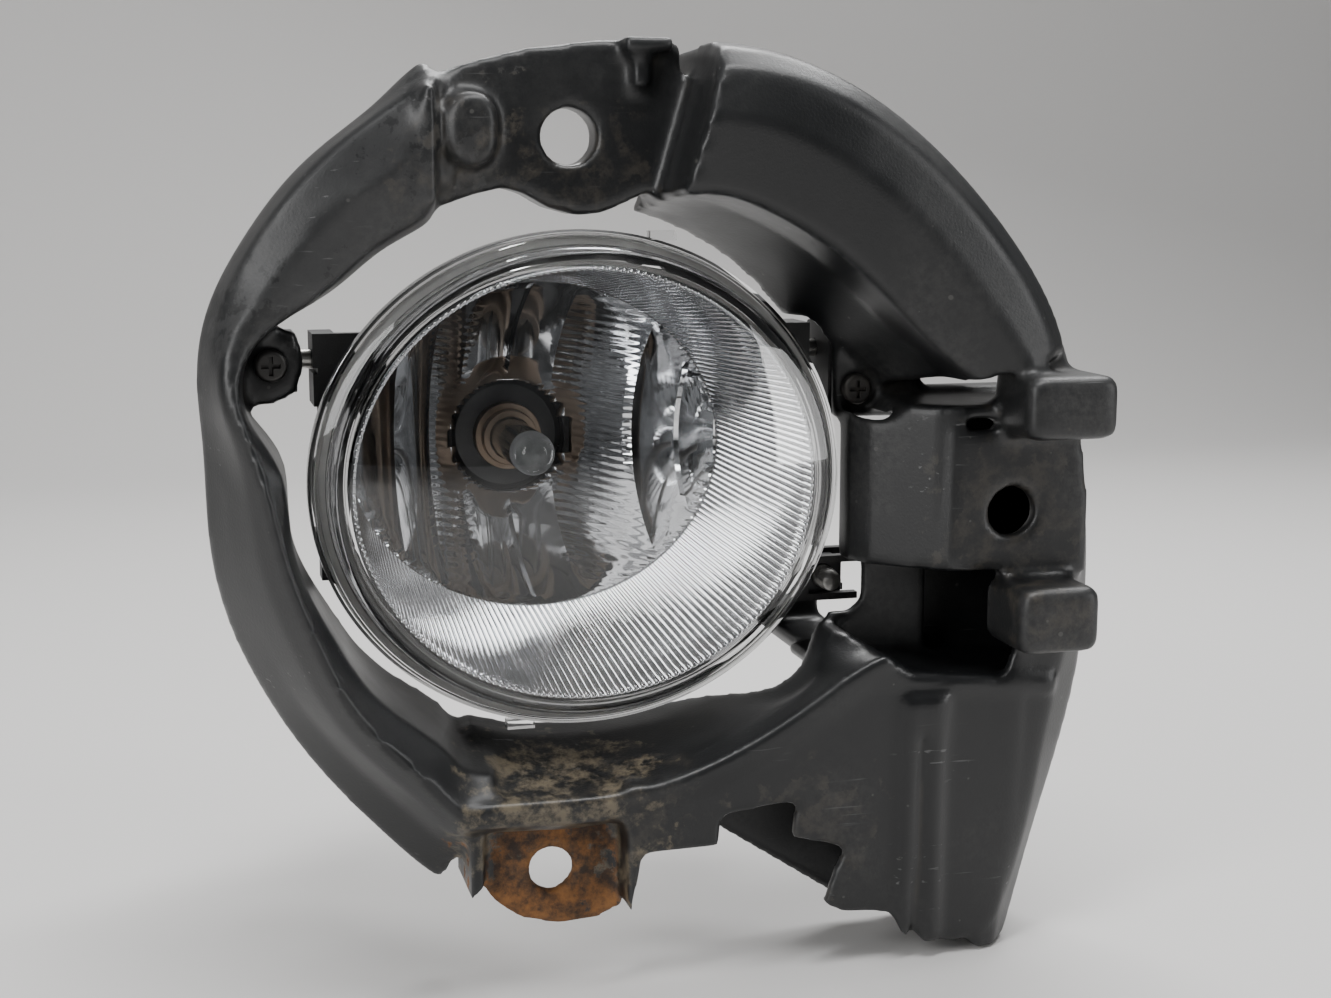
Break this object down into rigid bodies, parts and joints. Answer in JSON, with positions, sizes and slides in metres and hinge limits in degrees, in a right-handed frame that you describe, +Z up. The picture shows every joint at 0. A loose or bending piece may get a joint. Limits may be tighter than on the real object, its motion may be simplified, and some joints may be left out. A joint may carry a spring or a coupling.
{
  "type": "fog light",
  "caption": "Oval front fog lamp with a clear lens and twist-lock bulb, tilting on pivots inside a ring-shaped moulded mounting bracket with bolt tabs.",
  "frame": {"origin": "centre of the oval lens rim, in the plane of the rim's widest part", "axes": "+X to the right as seen from in front of the lamp, +Y to the rear, away from the beam, +Z up"},
  "size_m": [0.1883, 0.1116, 0.1938],
  "materials": {
    "bracket_plastic": "satin, scuffed and dusty",
    "housing_plastic": "fine grained matt",
    "lens_clear": "clear, polished",
    "rubber": "matt",
    "sealant": "pale, satin",
    "bezel_bright": "metallised, fluted",
    "reflector_mirror": "vacuum metallised mirror",
    "bulb_quartz": "clear with a grey painted tip",
    "tungsten": "dull wire",
    "ceramic": "pale, matt",
    "bright_steel": "zinc plated",
    "dark_steel": "blackened",
    "base_plastic": "satin moulded",
    "terminal_brass": "tinned",
    "nut_plastic": "self-coloured, slick"
  },
  "bodies": {
    "bracket": {"mounting_bracket": "bracket_plastic", "pivot_block_left": "housing_plastic", "pivot_block_right": "housing_plastic", "pivot_pins": "bright_steel", "ear_screws": "dark_steel"},
    "lamp": {"lamp_housing": "housing_plastic", "lens_cover": "lens_clear", "lens_seal": "sealant", "bezel": "bezel_bright", "reflector": "reflector_mirror", "vent_cap": "rubber"},
    "bulb": {"bulb_glass": "bulb_quartz", "bulb_filament": "tungsten", "bulb_leads": "tungsten", "bulb_pinch": "ceramic", "bulb_ferrule": "bright_steel", "bulb_base": "base_plastic", "bulb_seal": "rubber", "bulb_terminals": "terminal_brass"},
    "screw": {"aim_screw": "bright_steel", "aim_clip": "dark_steel"},
    "nut": {"aim_nut": "nut_plastic"}
  },
  "joints": [
    {"name": "lamp_tilt", "type": "hinge", "parent": "bracket", "child": "lamp", "pos_m": [0, 0.018, 0.025], "axis": [1, 0, 0], "range_deg": [-4, 4]},
    {"name": "bulb_twist", "type": "hinge", "parent": "lamp", "child": "bulb", "pos_m": [-0.0073, 0.055, 0.0038], "axis": [0, 1, 0], "range_deg": [0, 45]},
    {"name": "aim_screw_turn", "type": "hinge", "parent": "bracket", "child": "screw", "pos_m": [0.0587, 0.034, -0.0263], "axis": [0, 1, 0], "range_deg": [-1040, 1040]},
    {"name": "aim_nut_travel", "type": "slide", "parent": "bracket", "child": "nut", "axis": [0, 1, 0], "range_m": [-0.0037, 0.0037]}
  ],
  "couplings": [
    {"joint": "aim_nut_travel", "follows": "lamp_tilt", "m_per_rad": 0.0513},
    {"joint": "aim_screw_turn", "follows": "lamp_tilt", "ratio": -257.9}
  ]
}
